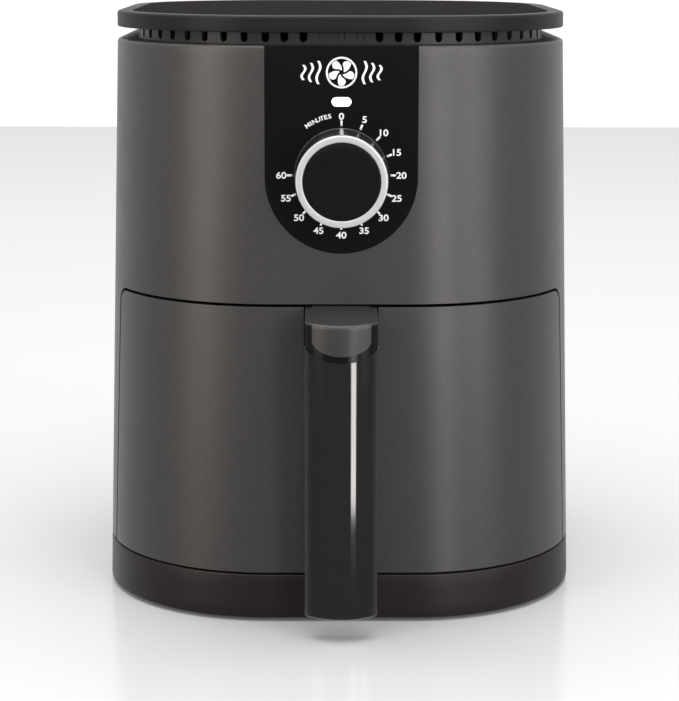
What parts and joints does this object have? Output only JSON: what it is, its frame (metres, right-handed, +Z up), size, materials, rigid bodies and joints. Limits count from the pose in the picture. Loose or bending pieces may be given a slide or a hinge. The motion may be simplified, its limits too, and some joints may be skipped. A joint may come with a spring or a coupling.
{
  "type": "compact drawer air fryer",
  "caption": "Compact air fryer with a front pull-out drawer and upright handle, rotary timer on a gloss panel, vented lid and rear exhaust.",
  "frame": {"origin": "on the worktop plane, under the middle of the overall box", "axes": "+Z up, -Y out of the front towards the cook, +X to the cook's right"},
  "size_m": [0.206, 0.2734, 0.2521],
  "materials": {
    "band_plastic": "satin brownish black",
    "base_plastic": "fine texture",
    "feet_rubber": "matt",
    "zinc_screw": "zinc plated",
    "shell_paint": "metallic satin paint",
    "vent_plastic": "satin",
    "lid_plastic": "satin",
    "lid_panel_paint": "satin",
    "hood_plastic": "fine texture",
    "panel_gloss": "high gloss",
    "lens_clear": "clear light guide",
    "circuit_board": "solder resist",
    "knob_plastic": "satin",
    "knob_ring_bright": "bright white",
    "knob_cap_gloss": "high gloss",
    "shaft_steel": "ground",
    "bracket_steel": "galvanised",
    "timer_can": "stamped",
    "bell_metal": "plated",
    "carrier_plastic": "satin",
    "nonstick_coat": "non-stick coating",
    "silicone": "soft matt",
    "handle_core": "gloss",
    "handle_gloss": "dark glossy",
    "tongue_paint": "metallic satin paint",
    "bay_plastic": "satin",
    "liner_steel": "aluminised sheet",
    "rail_plastic": "low friction",
    "element_sheath": "oxidised sheath",
    "bush_ceramic": "unglazed",
    "guard_wire": "plated wire",
    "duct_steel": "aluminised sheet",
    "fan_steel": "pressed sheet",
    "impeller_plastic": "moulded",
    "motor_can": "laminated stack and can",
    "thermostat_metal": "plated",
    "block_plastic": "moulded",
    "gland_rubber": "matt",
    "switch_plastic": "moulded",
    "plunger_plastic": "moulded",
    "spring_steel": "blued strip",
    "wire_insulation": "silicone sleeve"
  },
  "bodies": {
    "housing": {"base_band": "band_plastic", "base_plate": "base_plastic", "rubber_feet": "feet_rubber", "base_screws": "zinc_screw", "main_shell": "shell_paint", "vent_ring": "vent_plastic", "lid": "lid_plastic", "lid_panel": "lid_panel_paint", "rear_hood": "hood_plastic", "rear_grille": "hood_plastic", "hood_screws": "zinc_screw", "control_panel": "panel_gloss", "indicator_lens": "lens_clear", "indicator_board": "circuit_board", "timer_plate": "bracket_steel", "timer_screws": "zinc_screw", "timer_case": "timer_can", "timer_bell": "bell_metal", "bay_frame": "bay_plastic", "chamber_liner": "liner_steel", "chamber_rails": "rail_plastic", "element_dome": "liner_steel", "heating_element": "element_sheath", "element_bushes": "bush_ceramic", "element_guard": "guard_wire", "exhaust_duct": "duct_steel", "motor_case": "motor_can", "motor_bridge": "bracket_steel", "thermostat": "thermostat_metal", "thermal_fuse": "thermostat_metal", "terminal_block": "block_plastic", "cord_gland": "gland_rubber", "switch_body": "switch_plastic", "drawer_catches": "spring_steel", "wiring": "wire_insulation"},
    "drawer": {"drawer_front": "shell_paint", "drawer_carrier": "carrier_plastic", "basket": "nonstick_coat", "handle_frame": "handle_core", "handle_cover": "handle_gloss", "handle_tongue": "tongue_paint", "handle_screws": "zinc_screw"},
    "crisper": {"crisper_plate": "nonstick_coat", "crisper_bumpers": "silicone"},
    "knob": {"knob_body": "knob_plastic", "knob_ring": "knob_ring_bright", "knob_cap": "knob_cap_gloss", "timer_shaft": "shaft_steel"},
    "rotor": {"convection_fan": "fan_steel", "cooling_fan": "impeller_plastic", "motor_shaft": "shaft_steel"},
    "switch_button": {"switch_plunger": "plunger_plastic"}
  },
  "joints": [
    {"name": "drawer_slide", "type": "slide", "parent": "housing", "child": "drawer", "axis": [0, -1, 0], "range_m": [0, 0.215]},
    {"name": "crisper_lift", "type": "slide", "parent": "drawer", "child": "crisper", "axis": [0, 0, 1], "range_m": [0, 0.0927]},
    {"name": "timer_turn", "type": "hinge", "parent": "housing", "child": "knob", "pos_m": [0, -0.10874, 0.1879], "axis": [0, 1, 0], "range_deg": [0, 270]},
    {"name": "fan_spin", "type": "hinge", "parent": "housing", "child": "rotor", "pos_m": [0, 0.02226, 0.2], "axis": [0, 0, 1], "continuous": true},
    {"name": "switch_travel", "type": "slide", "parent": "housing", "child": "switch_button", "axis": [0, -1, 0], "range_m": [0, 0.0013]}
  ],
  "couplings": [
    {"joint": "switch_travel", "follows": "drawer_slide", "ratio": 0.0055814}
  ]
}
